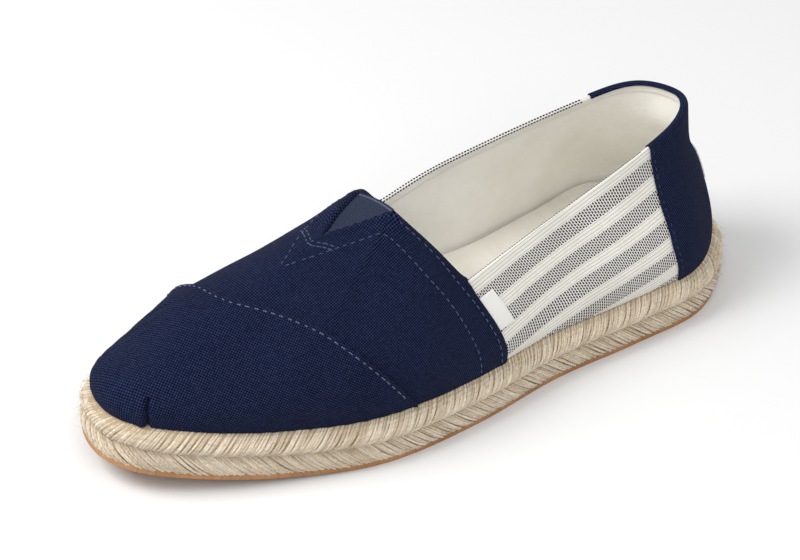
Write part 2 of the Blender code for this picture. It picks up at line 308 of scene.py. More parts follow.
rubber = Nodes("tan_rubber")
where = rubber.place()
scuff = rubber.noise(where, 60.0, 5.0, 0.6)
rubber_color = rubber.mix(rubber.ramp(scuff, 0.35, 0.7), rgb(0.42, 0.215, 0.10), rgb(0.28, 0.14, 0.065))
x, y, _ = rubber.split(where)
zigzag = rubber.math("PINGPONG", rubber.times(y, 160.0), 1.0)
tread = rubber.wave(rubber.plus(rubber.times(x, 300.0), zigzag), 2.0)
grain = rubber.plus(rubber.ramp(tread, -0.2, 0.3), rubber.times(scuff, 0.4))
rubber.surface(rubber_color, 0.62, rubber.bump(grain, 0.0006, 0.6))
finish_piece(outsole, rubber.material, "rubber", "outsole")


# The rope sole
# A flat braid of jute wound into a slab and stitched through. Its outermost turn shows
# two rows of slanting yarns, which meet in a groove and roll over the ledge at the top.
ROPE_BOTTOM = OUTSOLE_THICKNESS + GAP
ROPE_TOP = SOLE_HEIGHT - GAP
SIDE_HEIGHT = [-0.14, 0.0, 0.10, 0.22, 0.36, 0.43, 0.51, 0.64, 0.78, 0.90, 0.97, 1.0]
# How far in the rope's side lies at each height, as shares of the ledge
SIDE_INSET = [0.24, 0.06, 0.0, 0.0, 0.15, 0.33, 0.10, 0.0, 0.13, 0.40, 0.70, 1.0]
YARN_PITCH = 0.00108
CORE_INSET = 0.0009
LID_DROP = 0.0002


def rope_side(angle, height_share, inwards):
    """Points on the side of the rope, some way inwards from its face."""
    inset = np.interp(height_share, SIDE_HEIGHT, SIDE_INSET) * LEDGE + inwards
    plan, outward = outline(angle, inset)
    z = ROPE_BOTTOM + height_share * (ROPE_TOP - ROPE_BOTTOM) + spring(plan[..., 0])
    return add_z(plan, z), outward


def core_form(x, y):
    return rope_side(2 * pi * (1 - x), y, CORE_INSET)[0]


core = shaped_grid("rope_core", 240, 20, core_form)
merge_doubles(core)
lid = level_sheet(
    "rope_lid", 120, 12, lambda x, y: sole_slab(x, y, LEDGE + CORE_INSET, ROPE_TOP - LID_DROP)
)
underside = level_sheet(
    "rope_underside",
    120,
    12,
    lambda x, y: sole_slab(x, 1 - y, SIDE_INSET[1] * LEDGE + CORE_INSET, ROPE_BOTTOM),
    up=False,
)
select_only(core, lid, underside)
bpy.ops.object.join()

# The rope's core shows in the gaps between the yarns; it is painted dark jute, as painted shade in those
# gaps.
jute_core = Nodes("jute_shadow")
where = jute_core.place()
fibre = jute_core.noise(where, 500.0, 3.0, 0.7)
core_shade_color = jute_core.mix(fibre, rgb(0.28, 0.20, 0.12), rgb(0.46, 0.355, 0.24))
jute_core.surface(core_shade_color, 0.95, jute_core.bump(fibre, 0.0006, 0.8))
finish_piece(core, jute_core.material, "jute", "midsole")


def distance_along(points):
    """How far along its line each point is, for one line or for a stack of them."""
    steps = np.linalg.norm(np.diff(points, axis=-2), axis=-1)
    return np.concatenate([np.zeros(steps.shape[:-1] + (1,)), np.cumsum(steps, axis=-1)], axis=-1)


def add_object(name, data):
    thing = bpy.data.objects.new(name, data)
    bpy.context.scene.collection.objects.link(thing)
    return thing


def add_tubes(name, paths, radii, outwards, sides):
    """One mesh of round yarns, each along its path. UV runs along and round the yarn."""
    count, rings = paths.shape[:2]
    along = unit(np.gradient(paths, axis=1))
    across = unit(np.cross(along, outwards))
    over = np.cross(across, along)
    turn = np.arange(sides) * 2 * pi / sides
    ring = across[:, :, None] * np.cos(turn)[:, None] + over[:, :, None] * np.sin(turn)[:, None]
    points = paths[:, :, None] + ring * radii[:, :, None, None]
    k, i, j = np.meshgrid(np.arange(count), np.arange(rings - 1), np.arange(sides), indexing="ij")
    base = k * rings * sides
    after = (j + 1) % sides

    def corners(*values):
        return np.stack(values, axis=-1).reshape(-1, 4)

    low, high = base + i * sides, base + (i + 1) * sides
    quads = corners(low + j, low + after, high + after, high + j)
    first = np.arange(count)[:, None] * rings * sides
    caps = [first + np.arange(sides)[::-1], first + (rings - 1) * sides + np.arange(sides)]
    mesh = bpy.data.meshes.new(name)
    faces = quads.tolist() + np.concatenate(caps).tolist()
    mesh.from_pydata((points.reshape(-1, 3) + TO_FRAME).tolist(), [], faces)
    yarn = corners(k, k, k, k)
    uv = np.zeros((len(mesh.loops), 2))
    uv[: quads.size, 0] = corners(j, j + 1, j + 1, j).ravel() / sides
    uv[: quads.size, 1] = distance_along(paths)[yarn, corners(i, i, i + 1, i + 1)].ravel()
    mesh.uv_layers.new(name="UVMap").data.foreach_set("uv", uv.ravel())
    shade = mesh.attributes.new("yarn", "FLOAT", "FACE")
    numbers = np.concatenate([yarn[:, 0], np.tile(np.arange(count), 2)])
    shade.data.foreach_set("value", np.random.default_rng(7).random(count)[numbers])
    return add_object(name, mesh)


def bell(distance, width):
    return np.exp(-((distance / width) ** 2))


def braid_row(name, low, high, lean, radius, seed, reach=1.0):
    """A row of slanting yarns from one height to another, leaning along the sole."""
    draw = np.random.default_rng(seed)
    angle = np.linspace(0, 2 * pi, 2001)
    far = distance_along(outline(angle, 0.1 * LEDGE)[0])
    count = int(far[-1] / YARN_PITCH / 2) * 2
    number = np.arange(count)
    start = number * far[-1] / count + draw.uniform(-0.00013, 0.00013, count)
    share = np.linspace(0, 1, 9)
    height = low + (high - low) * share
    side = np.stack([np.interp(height, SIDE_HEIGHT, SIDE_INSET) * LEDGE, height], axis=-1)
    side[:, 1] *= ROPE_TOP - ROPE_BOTTOM
    travel = distance_along(side)
    slope = lean * (1 + draw.uniform(-0.07, 0.07, count))
    along = start[:, None] + slope[:, None] * travel[None, :]
    along += draw.uniform(-0.0004, 0.0004, count)[:, None] * np.sin(pi * share)
    at = np.interp(np.mod(along, far[-1]), far, angle)
    at_toe = bell(at - pi, 0.6)
    heights = height - 0.045 * at_toe * np.clip(1 - height / 0.46, 0, None)
    heights = heights + draw.uniform(-0.03, 0.03, count)[:, None] * share * (high < low)
    swell = np.sin(pi * reach * share)[None, :].clip(0) ** 0.5
    rise = draw.uniform(-0.00020, 0.00020, count)[:, None]
    inwards = 0.0004 + 0.0009 * (1 - swell) - rise + 0.0008 * at_toe * height.clip(0, 1)
    paths, outward = rope_side(at, heights, inwards)
    thick = radius * (0.62 + 0.44 * swell) * (1 + draw.uniform(-0.12, 0.12, count))[:, None]
    return add_tubes(name, paths, thick, add_z(outward, 0.35), 7)


def jute_material():
    jute = Nodes("jute_yarn")
    around, along, _ = jute.split(jute.place("UV"))
    tone = jute.add("ShaderNodeAttribute", attribute_name="yarn").outputs["Fac"]
    twist = jute.wave(jute.plus(jute.times(along, 520.0), around), 1.0)
    stretched = jute.join(
        jute.times(around, 9.0), jute.times(along, 260.0), jute.times(tone, 40.0)
    )
    fibre = jute.noise(stretched, 2.2, 4.0, 0.7)
    pale = jute.mix(tone, rgb(0.66, 0.55, 0.405), rgb(0.85, 0.765, 0.625))
    dark = jute.mix(tone, rgb(0.42, 0.315, 0.205), rgb(0.60, 0.485, 0.35))
    color = jute.mix(jute.ramp(fibre, 0.35, 0.62), dark, pale)
    height = jute.plus(jute.times(twist, 0.35), fibre)
    return jute.surface(color, 0.9, jute.bump(height, 0.0005, 0.8), sheen_weight=0.25)


jute_yarn = jute_material()
upper_row = braid_row("braid_upper_row", 0.40, 1.0, -0.80, 0.00047, 3)
finish_piece(upper_row, jute_yarn, "jute")
lower_row = braid_row("braid_lower_row", 0.47, -0.115, -1.25, 0.00041, 5, reach=0.75)
finish_piece(lower_row, jute_yarn, "jute")

# Loose hairs of jute that stand out of the braid, the most at its foot and its groove
HAIRS = 900
HAIR_RADIUS = 0.00006
HAIR_HEIGHTS = [0.05, 0.2, 0.35, 0.5, 0.7, 0.85]
HAIR_CHANCES = [0.2, 0.15, 0.15, 0.2, 0.15, 0.15]
draw = np.random.default_rng(11)
hair_angle = draw.uniform(0, 2 * pi, HAIRS)
hair_height = draw.choice(HAIR_HEIGHTS, HAIRS, p=HAIR_CHANCES)
roots, outward = rope_side(hair_angle, hair_height, 0.0)
tangent = np.stack([outward[:, 1], -outward[:, 0], np.zeros(HAIRS)], axis=-1)
heading = tangent * draw.choice([-1, 1], HAIRS)[:, None] * draw.uniform(0.5, 1.0, HAIRS)[:, None]
stand = draw.uniform(0.0, 1.0, HAIRS) ** 4 * 0.8 + 0.05
heading[:, :2] += outward * stand[:, None]
heading[:, 2] += draw.uniform(-0.5, 0.5, HAIRS)
hair_length = draw.uniform(0.002, 0.0055, HAIRS)
step = np.linspace(0, 1, 5)
curl = draw.uniform(-0.25, 0.25, (HAIRS, 1, 3)) * step[None, :, None] ** 2
bent = heading[:, None] * step[None, :, None] + curl
hair_paths = roots[:, None] + bent * hair_length[:, None, None]
hair_paths[..., 2] = np.maximum(hair_paths[..., 2], GAP)
hair_radii = np.broadcast_to(HAIR_RADIUS * (1.1 - step), hair_paths.shape[:2])
up = np.broadcast_to([0.0, 0.0, 1.0], hair_paths.shape)
loose_hairs = add_tubes("jute_hairs", hair_paths, hair_radii, up, 4)
finish_piece(loose_hairs, jute_yarn, "jute")


# The insole
# A cream cotton sock over thin foam, cut a little inside the wall of the upper, with a
# soft hollow under the heel and the ball of the foot.
INSOLE_THICKNESS = 0.003
UPPER_WALL = 0.0024
INSOLE_INSET = LEDGE + UPPER_WALL + 3 * GAP


def insole_form(x, y):
    points = sole_slab(x, y, INSOLE_INSET, SOLE_HEIGHT + INSOLE_THICKNESS)
    edge = 1 - np.abs(2 * y - 1) ** 6
    heel_hollow = 0.0008 * bell(points[:, 0] - 0.045, 0.03)
    ball_hollow = 0.0006 * bell(points[:, 0] - 0.17, 0.04)
    points[:, 2] -= (1 - edge) * 0.0005 + (heel_hollow + ball_hollow) * edge
    return points


insole = level_sheet("insole_sock", 120, 32, insole_form)
thicken(insole, INSOLE_THICKNESS - 0.0002, 0.0007, segments=3, corner=50)


def cotton(name, light, dark, thread, relief):
    """Plain cotton: fine threads both ways, softly uneven."""
    cloth = Nodes(name)
    where = cloth.place()
    x, y, z = cloth.split(where)
    weave = cloth.times(cloth.wave(cloth.plus(x, z), thread), cloth.wave(cloth.minus(y, z), thread))
    patch = cloth.noise(where, 45.0, 4.0, 0.6)
    fuzz = cloth.noise(where, 900.0, 2.0, 0.6)
    color = cloth.mix(cloth.ramp(patch, 0.35, 0.65), dark, light)
    height = cloth.plus(cloth.times(weave, 0.4), fuzz)
    return cloth.surface(color, 0.92, cloth.bump(height, relief, 0.5), sheen_weight=0.15)


insole_cotton = cotton("insole_cotton", rgb(0.73, 0.705, 0.635), rgb(0.665, 0.63, 0.555), 0.0006, 0.0003)
finish_piece(insole, insole_cotton, "insole_cotton", "insole")


# The upper's lining
# One layer of undyed cotton against the foot, from the feather line up to the topline.
# The upper is drawn on ribs: curves that climb from the sole to the topline, numbered
# round the shoe from the back of the heel, by the outer side, to the toe and back.
HEEL_HEIGHT = 0.066
INSTEP_HEIGHT = 0.071
VAMP_STEP = 0.0008
RIBS = np.array([
    # side, foot, along, across, heel, instep, flare, rise, reach, drop
    (1, 0.000, 0.0575, 0.000, 1.000, 0.000, 0.007, 0.36, 0.20, 0.39),
    (1, 0.041, 0.0960, 0.148, 0.988, 0.000, 0.004, 0.34, 0.17, 0.42),
    (1, 0.147, 0.1850, 0.207, 0.914, 0.000, 0.025, 0.41, 0.30, 0.40),
    (1, 0.303, 0.3720, 0.276, 0.450, 0.306, 0.026, 0.44, 0.40, 0.32),
    (1, 0.463, 0.5020, 0.342, 0.000, 0.648, 0.031, 0.40, 0.39, 0.35),
    (1, 0.611, 0.5330, 0.238, 0.000, 0.817, 0.034, 0.50, 0.46, 0.24),
    (1, 0.800, 0.5730, 0.120, 0.000, 1.000, 0.023, 0.43, 0.50, 0.38),
    (1, 0.935, 0.6220, 0.070, 0.000, 0.955, 0.011, 0.38, 0.44, 0.38),
    (1, 1.000, 0.6620, 0.024, 0.000, 0.917, 0.012, 0.42, 0.47, 0.39),
    (-1, 0.925, 0.6210, 0.043, 0.000, 0.954, 0.011, 0.38, 0.44, 0.38),
    (-1, 0.775, 0.5750, 0.117, 0.000, 0.954, 0.023, 0.43, 0.50, 0.38),
    (-1, 0.616, 0.5300, 0.262, 0.000, 0.810, 0.034, 0.50, 0.46, 0.24),
    (-1, 0.458, 0.4930, 0.346, 0.000, 0.640, 0.031, 0.40, 0.39, 0.35),
    (-1, 0.299, 0.3760, 0.338, 0.450, 0.322, 0.026, 0.44, 0.40, 0.32),
    (-1, 0.147, 0.1900, 0.267, 0.934, 0.000, 0.025, 0.41, 0.30, 0.40),
    (-1, 0.045, 0.0950, 0.186, 0.998, 0.000, 0.004, 0.34, 0.17, 0.42),
])
LATERAL_EDGE, LATERAL_CORNER, NOTCH_TIP, MEDIAL_CORNER, MEDIAL_EDGE = 4, 6, 8, 10, 12
KINKS = (LATERAL_EDGE, LATERAL_CORNER, NOTCH_TIP, MEDIAL_CORNER, MEDIAL_EDGE)
RIB_COUNT = len(RIBS)


def rib_surface(rib, climb):
    """Points on the outside of the upper, at rib numbers and shares of the climb."""
    side, foot, along, across, heel, instep, flare, rise, reach, drop = RIBS.T
    numbers = np.arange(RIB_COUNT)
    turn = 2 * pi / RIB_COUNT
    foot = np.where(numbers > NOTCH_TIP, 2 * pi - angle_of(foot), angle_of(foot))
    ahead = smooth_loop(numbers, (foot - turn * numbers)[:, None], rib, RIB_COUNT)[..., 0]
    # the canvas is drawn out further over the ledge at the toe's inner side
    narrower = 0.0018 * bell(np.mod(rib, RIB_COUNT) - 8.8, 0.9)
    plan, outward = outline(np.mod(rib, RIB_COUNT) * turn + ahead, LEDGE - narrower)
    base = add_z(plan, SOLE_HEIGHT + spring(plan[..., 0]))
    tops = [along * LENGTH, side * across * BALL_WIDTH, heel * HEEL_HEIGHT + instep * INSTEP_HEIGHT]
    top = smooth_loop(numbers, np.stack(tops, axis=-1), rib, RIB_COUNT, KINKS)
    bends = np.stack([flare * BALL_WIDTH, rise, reach, drop], axis=-1)
    flare, rise, reach, drop = np.moveaxis(smooth_loop(numbers, bends, rib, RIB_COUNT), -1, 0)
    height = top[..., 2] - base[..., 2]
    low = base.copy()
    low[..., :2] += outward * flare[..., None]
    low[..., 2] += rise * height
    high = top.copy()
    high[..., :2] += reach[..., None] * (base - top)[..., :2]
    high[..., 2] -= drop * height
    t = climb[..., None]
    rest = 1 - t
    curve = rest**3 * base + 3 * t * rest**2 * low + 3 * t**2 * rest * high + t**3 * top
    return curve, outward


def surface_frame(rib, climb):
    """Points on the outside of the upper and the direction straight out of it."""
    rib, climb = np.broadcast_arrays(np.asarray(rib, float), np.asarray(climb, float))
    beside, up = 0.03, 0.01
    point, outward = rib_surface(rib, climb)
    ahead, behind = rib_surface(rib + beside, climb)[0], rib_surface(rib - beside, climb)[0]
    above, below = np.minimum(climb + up, 1), np.maximum(climb - up, 0)
    normal = np.cross(rib_surface(rib, above)[0] - rib_surface(rib, below)[0], ahead - behind)
    return point, unit(np.where((climb <= 0)[..., None], add_z(outward, 0.0), normal))


# Soft folds of the worn cloth: two ends as rib and climb, then width and depth in metres.
# A negative depth is a ridge.
CREASES = [
    # the hollow over the toe and the ridge in front of its seam
    (6.9, 0.40, 8.9, 0.42, 0.013, 0.0021),
    (6.6, 0.57, 8.4, 0.60, 0.007, -0.0008),
    (8.2, 0.61, 9.3, 0.43, 0.006, -0.0012),
    (8.2, 0.20, 9.7, 0.18, 0.011, 0.0022),
    (8.1, 0.38, 8.9, 0.34, 0.008, 0.0009),
    # where the toe is drawn in to the rope
    (5.0, 0.01, 6.4, 0.01, 0.0045, 0.0009),
    (6.4, 0.01, 7.6, 0.01, 0.0045, 0.0009),
    (7.6, 0.01, 8.8, 0.01, 0.0045, 0.0008),
    (8.8, 0.01, 10.2, 0.01, 0.0045, 0.0008),
    # gathers beside the tuck
    (6.9, 0.26, 7.1, 0.06, 0.006, 0.0005),
    (7.9, 0.30, 7.7, 0.06, 0.007, 0.0005),
    # slack across the ball of the foot, on both sides
    (5.6, 0.35, 5.1, 0.10, 0.012, 0.0009),
    (10.3, 0.35, 10.8, 0.12, 0.012, 0.0009),
    (6.2, 0.78, 5.0, 0.50, 0.010, 0.0005),
    (5.9, 0.62, 4.5, 0.36, 0.007, 0.0004),
    (9.8, 0.62, 11.3, 0.36, 0.009, 0.0006),
    # the flap beside the notch stands up a little
    (8.8, 0.93, 10.2, 0.955, 0.007, -0.0011),
    # the quarters sag between the vamp and the counter
    (2.4, 0.55, 3.7, 0.45, 0.012, 0.0007),
    (12.4, 0.45, 13.6, 0.55, 0.012, 0.0010),
    (2.6, 0.25, 3.2, 0.20, 0.008, -0.0003),
    (2.2, 0.80, 3.4, 0.72, 0.006, -0.0002),
    (2.9, 0.38, 3.8, 0.22, 0.006, 0.0006),
    # the heel is soft above the label, and stands out at it
    (-0.8, 0.74, 0.8, 0.74, 0.007, 0.0018),
    (1.0, 0.45, 1.6, 0.20, 0.007, 0.0006),
    (-1.0, 0.45, -1.7, 0.25, 0.008, 0.0006),
]
TUCK_RIB = [7.42, 7.40, 7.36, 7.32, 7.29, 7.28]
TUCK_CLIMB = [0.205, 0.19, 0.15, 0.10, 0.05, 0.0]
TUCK_DEPTH = 0.0022
TUCK_WIDTH = 0.00070
TUCK_PLEAT = 0.0008


def nearest_on(line, points):
    """Which place on a line is nearest to each point, and how far off it is."""
    apart = np.linalg.norm(points[:, None] - line[None], axis=-1)
    return apart.argmin(axis=1), apart.min(axis=1)


def crease_depth(points):
    """How far the folds push the cloth in at each point."""
    depth = np.zeros(len(points))
    for rib_a, climb_a, rib_b, climb_b, width, deep in CREASES:
        share = np.linspace(0, 1, 12)
        line = rib_surface(rib_a + (rib_b - rib_a) * share, climb_a + (climb_b - climb_a) * share)[0]
        nearest, near = nearest_on(line, points)
        depth += deep * np.sin(pi * (0.12 + 0.76 * share[nearest])) * bell(near, width)
    # The tuck: a pleat whose folded edge lies over a narrow groove
    share = np.linspace(0, 1, 26)
    knots = np.linspace(0, 1, len(TUCK_RIB))
    ribs, climbs = np.interp(share, knots, TUCK_RIB), np.interp(share, knots, TUCK_CLIMB)
    line = rib_surface(ribs, climbs)[0]
    onwards = unit(rib_surface(ribs + 0.1, climbs)[0] - line)
    nearest, near = nearest_on(line, points)
    aside = ((points - line[nearest]) * onwards[nearest]).sum(axis=-1)
    past = np.sqrt(np.maximum(near**2 - aside**2, 0))
    fade = np.clip(share[nearest] * 6, 0, 1) * bell(past, 0.0012)
    tuck = TUCK_DEPTH * bell(aside, TUCK_WIDTH) - TUCK_PLEAT * bell(aside - 0.0019, 0.0015)
    return depth + fade * tuck


def cloth_form(rib, climb, lift):
    point, normal = surface_frame(rib, climb)
    lift = np.broadcast_to(lift, rib.shape) - crease_depth(point)
    return point + normal * lift[..., None]


LINING_THICKNESS = 0.0006
LINING_TOP = 0.988
QUARTER_COTTON = 0.0004
# The quarters lie between the lining and the step of the vamp, clear of both
LINING_LIFT = -(VAMP_STEP + QUARTER_COTTON) - 0.00002


def lining_form(x, y):
    return cloth_form(RIB_COUNT * (1 - x), LINING_TOP * y, LINING_LIFT)


lining = shaped_grid("lining", 320, 40, lining_form)
merge_doubles(lining)
thicken(lining, LINING_THICKNESS)
lining_cotton = cotton("lining_cotton", rgb(0.885, 0.86, 0.80), rgb(0.82, 0.79, 0.72), 0.0005, 0.0003)
finish_piece(lining, lining_cotton, "insole_cotton", "upper")


# The quarters
# One band of cream cotton, printed with rows of navy dashes, that runs round the heel from
# one side of the vamp to the other. It is turned over the topline and hemmed inside.
def rib_lengths(rib):
    """Length of each rib from the sole, at even steps of its climb."""
    steps = np.linspace(0, 1, 41)
    curve = rib_surface(np.repeat(rib, 41), np.tile(steps, len(rib)))[0]
    return steps, distance_along(curve.reshape(len(rib), 41, 3))


def level_line(rib, climb):
    return rib_surface(rib, np.full(len(rib), climb))[0]


def over_topline(points, rib, down):
    """Lifts the cloth that is turned over the topline, the way its rib ends."""
    upwards = unit(level_line(rib, 1.0) - level_line(rib, 0.97))
    return points + upwards * np.maximum(-down, 0)[:, None]


def folded_form(rib, down, lift):
    """Cloth placed by its distance down from the topline. Below zero it stands over it."""
    columns, where = np.unique(rib, return_inverse=True)
    steps, lengths = rib_lengths(columns)
    climb = np.empty(len(rib))
    for number in range(len(columns)):
        mine = where == number
        far = lengths[number, -1] - np.maximum(down[mine], 0)
        climb[mine] = np.interp(far, lengths[number], steps)
    return over_topline(cloth_form(rib, climb, lift), rib, down)


def fold_over(y, height, fold, body_share):
    """Distance down from the topline, lift in the fold, and distance along the cloth."""
    fold = np.array(fold) * 0.001
    turned = distance_along(fold)
    start = fold[0, 0]
    over = np.clip((y - body_share) / (1 - body_share), 0, 1) * turned[-1]
    body = start + (height - start) * (1 - np.clip(y / body_share, 0, 1))
    down = np.where(y > body_share, np.interp(over, turned, fold[:, 0]), body)
    return down, np.interp(over, turned, fold[:, 1]), np.where(y > body_share, start - over, body)


def folded_panel(name, columns, rows, ribs, fold, body_share, body_lift):
    """A panel from the sole to the topline and over it, its form and where its cloth lies."""
    kept = {}

    def form(x, y):
        rib = ribs[0] + (ribs[1] - ribs[0]) * (1 - x)
        each, where = np.unique(rib, return_inverse=True)
        height = rib_lengths(each)[1][where, -1]
        down, lift, kept["cloth"] = fold_over(y, height, fold, body_share)
        kept["rib"] = rib
        return folded_form(rib, down, np.where(y > body_share, lift, body_lift(rib, down)))

    return shaped_grid(name, columns, rows, form), form, kept


def set_uv(piece, uv):
    """Gives every corner the UV of its vertex."""
    corners = read_all(piece.data.loops, "vertex_index", 1, int)[:, 0]
    piece.data.uv_layers[0].data.foreach_set("uv", uv[corners].ravel())


# Distance down from the topline and lift, in millimetres, round the turned edge
QUARTER_FOLD = [
    (1.0, -0.80), (0.5, -0.82), (0.1, -0.90), (-0.12, -1.08), (-0.18, -1.32), (-0.12, -1.60),
    (0.15, -1.94), (0.6, -2.16), (1.5, -2.24), (2.6, -2.26), (3.2, -2.24), (3.4, -2.00),
]
QUARTER_END = 4.06
PRINT_DRIFT = 0.0017
quarters, _, kept = folded_panel(
    "quarters", 420, 72, (-QUARTER_END, QUARTER_END), QUARTER_FOLD, 0.80, lambda rib, down: -VAMP_STEP
)
drift = PRINT_DRIFT * np.clip((LATERAL_EDGE - np.abs(kept["rib"])) / 2, 0, 1)
round_ribs = np.linspace(kept["rib"].min(), kept["rib"].max(), 600)
far = distance_along(level_line(round_ribs, 0.6))
set_uv(quarters, np.stack([np.interp(kept["rib"], round_ribs, far), kept["cloth"] + drift], axis=-1))
thicken(quarters, QUARTER_COTTON)

FIRST_BAND = 0.0052
BAND_PITCH = 0.0106
BAND_SHARE = 0.55
DASH_COLUMN = 0.00095
DASH_ROW = 0.00122
PIN_PITCH = 0.1125
dashes = Nodes("dashed_cotton")
flat = dashes.place("UV")
along, down, _ = dashes.split(flat)
wobble = dashes.minus(dashes.noise(flat, 60.0, 2.0), 0.5)
down = dashes.plus(down, dashes.times(wobble, 0.0006))
in_band = dashes.math("FRACT", dashes.math("DIVIDE", dashes.minus(down, FIRST_BAND), BAND_PITCH))
banded = dashes.math("LESS_THAN", in_band, BAND_SHARE)
below_margin = dashes.math("GREATER_THAN", down, FIRST_BAND)
column = dashes.math("DIVIDE", along, DASH_COLUMN)
stagger = dashes.times(dashes.math("MODULO", dashes.math("FLOOR", column), 2.0), 0.5)
row = dashes.math("FRACT", dashes.plus(dashes.math("DIVIDE", down, DASH_ROW), stagger))
thin = dashes.ramp(dashes.from_middle(dashes.math("FRACT", column)), 0.37, 0.26)
short = dashes.ramp(dashes.from_middle(row), 0.45, 0.34)
dash = dashes.times(dashes.times(thin, short), dashes.times(banded, below_margin))
pin = dashes.math("FRACT", dashes.math("DIVIDE", dashes.minus(in_band, BAND_SHARE), PIN_PITCH))
pin = dashes.times(dashes.ramp(dashes.from_middle(pin), 0.16, 0.06), dashes.minus(1.0, banded))
weave = dashes.times(dashes.wave(along, 0.0005), dashes.wave(down, 0.0005))
patch = dashes.noise(dashes.place(), 40.0, 4.0, 0.6)
cream = dashes.mix(dashes.ramp(patch, 0.35, 0.65), rgb(0.74, 0.72, 0.66), rgb(0.83, 0.81, 0.76))
cream = dashes.mix(dashes.ramp(weave, -0.2, -0.9), cream, rgb(0.60, 0.56, 0.48))
lined = dashes.mix(dashes.times(pin, 0.72), cream, rgb(0.34, 0.35, 0.30))
printed = dashes.mix(dash, lined, rgb(0.016, 0.015, 0.036))
quarter_height = dashes.plus(dashes.times(weave, 0.4), dashes.times(dash, 0.5))
dashes.surface(printed, 0.93, dashes.bump(quarter_height, 0.0003, 0.5), sheen_weight=0.1)
finish_piece(quarters, dashes.material, "quarter_cotton", "upper")


# The vamp
# Navy canvas over the front of the foot, with its back edges lapped over the quarters
# and its topline folded in. The middle is notched, and the notch is filled with elastic.
VAMP_FOLD = [
    (1.8, 0.34), (1.1, 0.30), (0.5, 0.12), (0.10, -0.20), (-0.10, -0.65), (-0.16, -1.20),
    (-0.06, -1.70), (0.25, -2.15), (0.9, -2.50), (1.8, -2.62), (2.8, -2.62), (3.4, -2.35),
]
VAMP_GRID = (400, 108)
RIB_SPACE = 0.034


def vamp_lift(rib, down):
    """The folded hem stands up along the topline and down the two back edges."""
    hem = 0.00034 * np.clip((0.0042 - down) / 0.0012, 0, 1)
    from_edge = np.minimum(rib - LATERAL_EDGE, MEDIAL_EDGE - rib) * RIB_SPACE
    edge = 0.00030 * np.clip((0.0036 - from_edge) / 0.0012, 0, 1)
    return np.maximum(hem, edge)


vamp, vamp_form, _ = folded_panel(
    "vamp", *VAMP_GRID, (LATERAL_EDGE, MEDIAL_EDGE), VAMP_FOLD, 0.84, vamp_lift
)


def flatten_uv(piece, columns, rows, form):
    """Unwraps a coarse copy of the cloth and hands its UV, in metres, to the fine one."""
    across, up = columns // 6, rows // 6
    draft = shaped_grid("draft", across, up, form)
    edit_all(bpy.ops.uv.unwrap, method="ANGLE_BASED", margin=0.0)
    mesh = draft.data
    corners = read_all(mesh.loops, "vertex_index", 1, int)[:, 0]
    uv = np.empty((len(mesh.vertices), 2))
    uv[corners] = read_all(mesh.uv_layers[0].data, "uv", 2)
    places = read_all(mesh.vertices, "co", 3).reshape(up + 1, across + 1, 3)
    uv = uv.reshape(up + 1, across + 1, 2)
    real = np.linalg.norm(np.diff(places, axis=1), axis=-1).sum()
    uv *= real / np.linalg.norm(np.diff(uv, axis=1), axis=-1).sum()
    bpy.data.objects.remove(draft)
    x = np.tile(np.linspace(0, across, columns + 1), rows + 1)
    y = np.repeat(np.linspace(0, up, rows + 1), columns + 1)
    left, low = np.minimum(x.astype(int), across - 1), np.minimum(y.astype(int), up - 1)
    x, y = (x - left)[:, None], (y - low)[:, None]
    fine = (1 - x) * (1 - y) * uv[low, left] + x * (1 - y) * uv[low, left + 1]
    fine += (1 - x) * y * uv[low + 1, left] + x * y * uv[low + 1, left + 1]
    set_uv(piece, fine)


CANVAS_THREAD = 0.00056


def canvas_material(name, base, lit, speck):
    """Piece-dyed canvas: plain weave, its raised threads painted lit and its gaps painted in shade, with
    paler threads showing through at random and where it is rubbed.
    """
    canvas = Nodes(name)
    flat = canvas.place("UV")
    nudge = canvas.times(canvas.minus(canvas.noise(flat, 90.0, 2.0), 0.5), 0.0004)
    x, y, _ = canvas.split(flat)
    pitch = CANVAS_THREAD * sqrt(2)
    warp = canvas.math("DIVIDE", canvas.plus(canvas.plus(x, y), nudge), pitch)
    weft = canvas.math("DIVIDE", canvas.plus(canvas.minus(x, y), nudge), pitch)
    across = canvas.math("COSINE", canvas.times(warp, 2 * pi))
    along = canvas.math("COSINE", canvas.times(weft, 2 * pi))
    checker = canvas.times(canvas.wave(warp, 2.0), canvas.wave(weft, 2.0))
    relief = canvas.plus(canvas.times(canvas.plus(across, along), -0.25), canvas.times(checker, 0.5))
    cells = canvas.join(canvas.math("FLOOR", warp), canvas.math("FLOOR", weft))
    chance = canvas.add("ShaderNodeTexWhiteNoise", {"Vector": cells}).outputs[0]
    rub = canvas.noise(canvas.place(), 30.0, 4.0, 0.6)
    light = canvas.plus(canvas.times(chance, 0.32), canvas.times(rub, 0.25))
    # The weave's checker paints the raised threads in the lit colour and the gaps between them in the
    # base colour, as painted highlight and painted shade.
    light = canvas.plus(light, canvas.times(checker, 0.75))
    color = canvas.mix(canvas.ramp(light, -0.15, 0.72), base, lit)
    color = canvas.mix(canvas.ramp(light, 0.85, 1.1), color, speck)
    height = canvas.plus(relief, canvas.times(canvas.noise(flat, 2500.0, 2.0), 0.4))
    normal = canvas.bump(height, 0.0004, 0.6)
    return canvas.surface(color, 0.9, normal, gloss=0.04, sheen_weight=0.015)


navy_canvas = canvas_material(
    "navy_canvas", rgb(0.0008, 0.0016, 0.0105), rgb(0.0150, 0.0225, 0.061), rgb(0.032, 0.042, 0.095)
)


def finish_canvas(piece, grid, form, thickness, edge, replaced):
    """Lays the cloth flat for its weave, and gives it its thickness and its soft edges."""
    flatten_uv(piece, *grid, form)
    thicken(piece, thickness, edge)
    finish_piece(piece, navy_canvas, "navy_canvas", replaced)


finish_canvas(vamp, VAMP_GRID, vamp_form, 0.0007, 0.0003, "upper")


# The toe panel
# A second layer of the canvas over the toe. Its upper edge slants across the foot, is
# folded under, and is stitched down. A tuck takes up the fullness at the tip of the toe.

